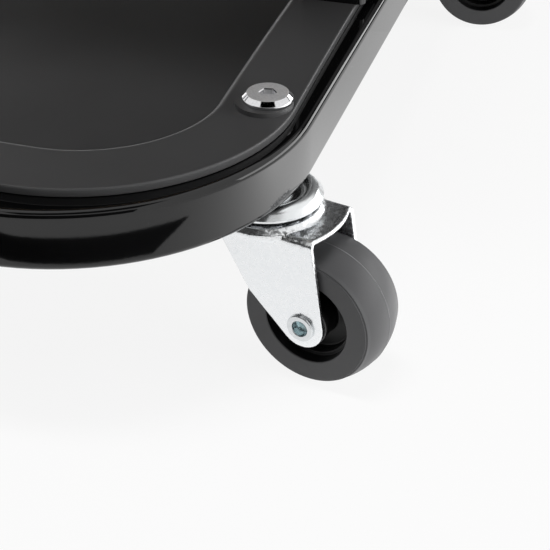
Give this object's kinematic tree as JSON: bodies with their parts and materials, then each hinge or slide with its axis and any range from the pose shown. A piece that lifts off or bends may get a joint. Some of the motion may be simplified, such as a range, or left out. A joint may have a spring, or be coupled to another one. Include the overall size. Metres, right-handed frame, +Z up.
{
  "type": "creeper seat",
  "caption": "Low rolling workshop seat: padded vinyl top on tube arches over a tool tray in a bent tube ring with swivel casters.",
  "frame": {"origin": "on the floor under the middle of the tube ring, at the centre of the object's box", "axes": "+X across the ring to the right seen from its front, +Y from its front to its rear, +Z up"},
  "size_m": [0.423, 0.436, 0.3742],
  "materials": {
    "frame_paint": "gloss black powder coat",
    "tray_plastic": "satin black",
    "bolt_steel": "bright zinc plated, fine turned",
    "black_washer": "black oxide",
    "inner_steel": "plain steel",
    "zinc_plate": "bright zinc plate, faint spangle",
    "wheel_plastic": "satin moulded",
    "seat_vinyl": "grained black vinyl",
    "plywood": "raw birch plywood"
  },
  "bodies": {
    "root": {"base_ring": "frame_paint", "tool_tray": "tray_plastic", "tray_bolts": "bolt_steel", "tray_washers": "black_washer", "tray_nuts": "inner_steel", "front_arch": "frame_paint", "rear_arch": "frame_paint", "leg_plugs": "inner_steel", "leg_bolts": "bolt_steel", "leg_washers": "bolt_steel", "seat_board": "plywood", "seat_cushion": "seat_vinyl", "cover_skirt": "seat_vinyl", "seat_bolts": "bolt_steel", "seat_washers": "bolt_steel", "seat_tee_nuts": "inner_steel", "caster_nuts": "inner_steel", "stem_front_right": "zinc_plate", "cap_front_right": "zinc_plate", "balls_front_right": "inner_steel", "stem_front_left": "zinc_plate", "cap_front_left": "zinc_plate", "balls_front_left": "inner_steel", "stem_rear_right": "zinc_plate", "cap_rear_right": "zinc_plate", "balls_rear_right": "inner_steel", "stem_rear_left": "zinc_plate", "cap_rear_left": "zinc_plate", "balls_rear_left": "inner_steel"},
    "caster_front_right": {"fork_front_right": "zinc_plate", "axle_front_right": "zinc_plate", "sleeve_front_right": "inner_steel"},
    "roller_front_right": {"wheel_front_right": "wheel_plastic"},
    "caster_front_left": {"fork_front_left": "zinc_plate", "axle_front_left": "zinc_plate", "sleeve_front_left": "inner_steel"},
    "roller_front_left": {"wheel_front_left": "wheel_plastic"},
    "caster_rear_right": {"fork_rear_right": "zinc_plate", "axle_rear_right": "zinc_plate", "sleeve_rear_right": "inner_steel"},
    "roller_rear_right": {"wheel_rear_right": "wheel_plastic"},
    "caster_rear_left": {"fork_rear_left": "zinc_plate", "axle_rear_left": "zinc_plate", "sleeve_rear_left": "inner_steel"},
    "roller_rear_left": {"wheel_rear_left": "wheel_plastic"}
  },
  "joints": [
    {"name": "swivel_front_right", "type": "hinge", "parent": "root", "child": "caster_front_right", "pos_m": [0.1655, -0.146, 0.0575], "axis": [0, 0, 1], "continuous": true},
    {"name": "roll_front_right", "type": "hinge", "parent": "caster_front_right", "child": "roller_front_right", "pos_m": [0.18591, -0.15094, 0.025], "axis": [-0.2351, -0.972, 0], "continuous": true},
    {"name": "swivel_front_left", "type": "hinge", "parent": "root", "child": "caster_front_left", "pos_m": [-0.1655, -0.146, 0.0575], "axis": [0, 0, 1], "continuous": true},
    {"name": "roll_front_left", "type": "hinge", "parent": "caster_front_left", "child": "roller_front_left", "pos_m": [-0.18591, -0.15094, 0.025], "axis": [-0.2351, 0.972, 0], "continuous": true},
    {"name": "swivel_rear_right", "type": "hinge", "parent": "root", "child": "caster_rear_right", "pos_m": [0.1655, 0.146, 0.0575], "axis": [0, 0, 1], "continuous": true},
    {"name": "roll_rear_right", "type": "hinge", "parent": "caster_rear_right", "child": "roller_rear_right", "pos_m": [0.18646, 0.14728, 0.025], "axis": [0.061, -0.9981, 0], "continuous": true},
    {"name": "swivel_rear_left", "type": "hinge", "parent": "root", "child": "caster_rear_left", "pos_m": [-0.1655, 0.146, 0.0575], "axis": [0, 0, 1], "continuous": true},
    {"name": "roll_rear_left", "type": "hinge", "parent": "caster_rear_left", "child": "roller_rear_left", "pos_m": [-0.18646, 0.14728, 0.025], "axis": [0.061, 0.9981, 0], "continuous": true}
  ]
}
